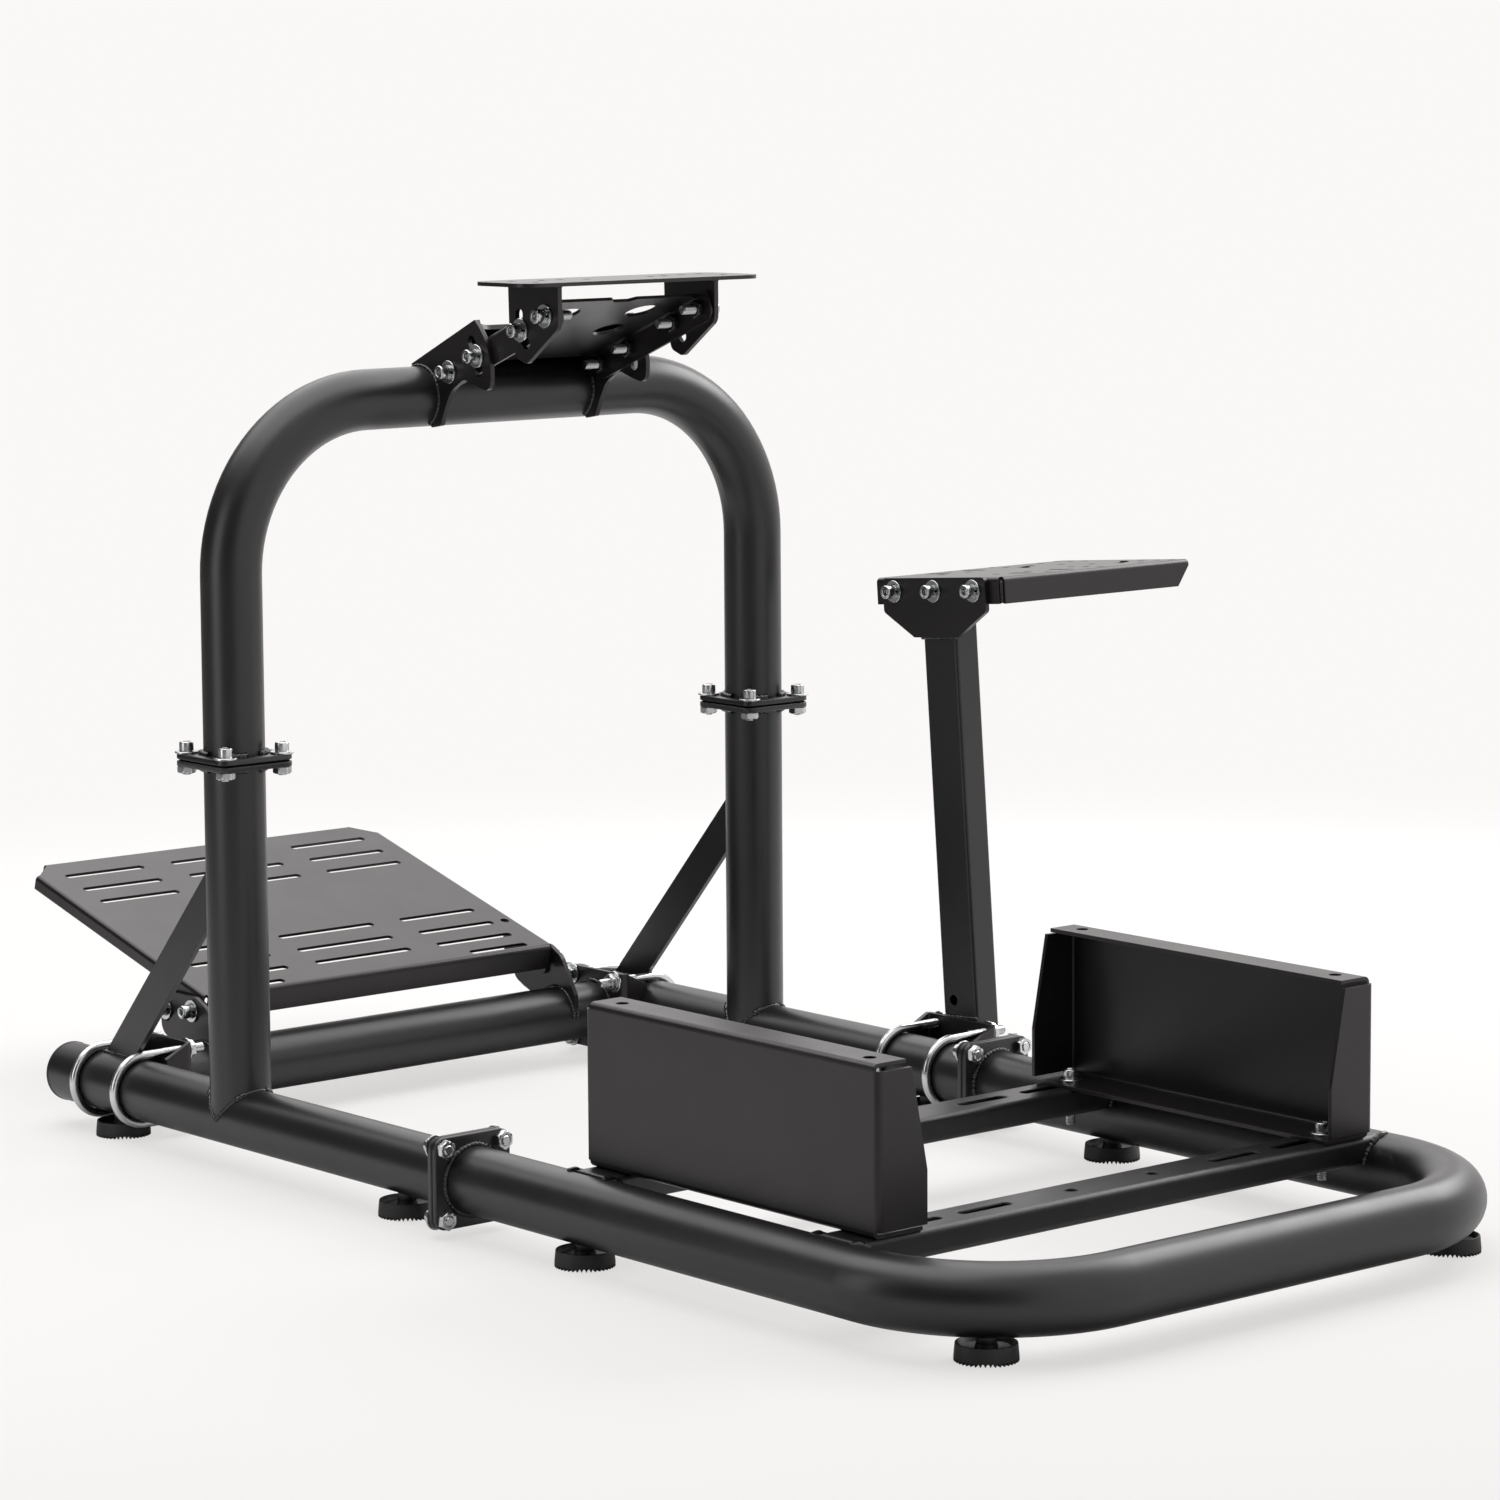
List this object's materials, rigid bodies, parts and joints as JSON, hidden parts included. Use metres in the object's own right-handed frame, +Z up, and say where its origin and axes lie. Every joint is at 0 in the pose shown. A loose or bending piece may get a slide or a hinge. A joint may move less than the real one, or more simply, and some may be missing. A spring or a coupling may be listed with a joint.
{
  "type": "racing simulator cockpit frame",
  "caption": "Tubular racing simulator cockpit frame with a bent seat base, wheel arch with tilting wheel mount, tilting pedal tray and a side shifter deck.",
  "frame": {"origin": "middle of the bounding box, on the floor under the feet", "axes": "+X to the driver's right, +Y forward from the seat to the pedals, +Z up"},
  "size_m": [0.821, 1.3178, 0.6912],
  "materials": {
    "black_coat": "satin black powder coat",
    "zinc": "bright zinc plate",
    "foot_rubber": "matte",
    "cap_plastic": "matte"
  },
  "bodies": {
    "frame": {"rear_loop_tube": "black_coat", "rear_seat_bar": "black_coat", "front_seat_bar": "black_coat", "left_seat_bracket": "black_coat", "right_seat_bracket": "black_coat", "rear_rail_flanges": "black_coat", "front_rail_flanges": "black_coat", "left_rail_tube": "black_coat", "right_rail_tube": "black_coat", "rail_end_caps": "cap_plastic", "left_upright_tube": "black_coat", "right_upright_tube": "black_coat", "left_brace": "black_coat", "right_brace": "black_coat", "lower_upright_flanges": "black_coat", "upper_upright_flanges": "black_coat", "wheel_arch_tube": "black_coat", "left_wheel_cradle": "black_coat", "right_wheel_cradle": "black_coat", "wheel_cradle_bridge": "black_coat", "foot_pads": "foot_rubber", "foot_studs": "black_coat", "pedal_cross_tube": "black_coat", "left_pedal_clamp": "black_coat", "right_pedal_clamp": "black_coat", "left_pedal_u_bolts": "zinc", "right_pedal_u_bolts": "zinc", "left_pedal_bracket": "black_coat", "right_pedal_bracket": "black_coat", "shifter_clamp": "black_coat", "shifter_u_bolts": "zinc", "shifter_post": "black_coat", "shifter_gusset": "black_coat", "shifter_deck": "black_coat"},
    "wheel_arm": {"wheel_arm": "black_coat", "arm_bolts": "zinc", "plate_bolts": "zinc"},
    "wheel_plate": {"wheel_plate": "black_coat", "left_wheel_hanger": "black_coat", "right_wheel_hanger": "black_coat"},
    "pedal_tray": {"pedal_tray": "black_coat", "pedal_bolts": "zinc"}
  },
  "joints": [
    {"name": "wheel_arm_tilt", "type": "hinge", "parent": "frame", "child": "wheel_arm", "pos_m": [-0.111, 0.17547, 0.6168], "axis": [-1, 0, 0], "range_deg": [-15, 7.5]},
    {"name": "wheel_plate_tilt", "type": "hinge", "parent": "wheel_arm", "child": "wheel_plate", "pos_m": [-0.111, 0.05267, 0.66468], "axis": [-1, 0, 0], "range_deg": [-16.5, 16.5]},
    {"name": "pedal_tray_tilt", "type": "hinge", "parent": "frame", "child": "pedal_tray", "pos_m": [-0.111, 0.39597, 0.089], "axis": [1, 0, 0], "range_deg": [-8, 8]}
  ]
}
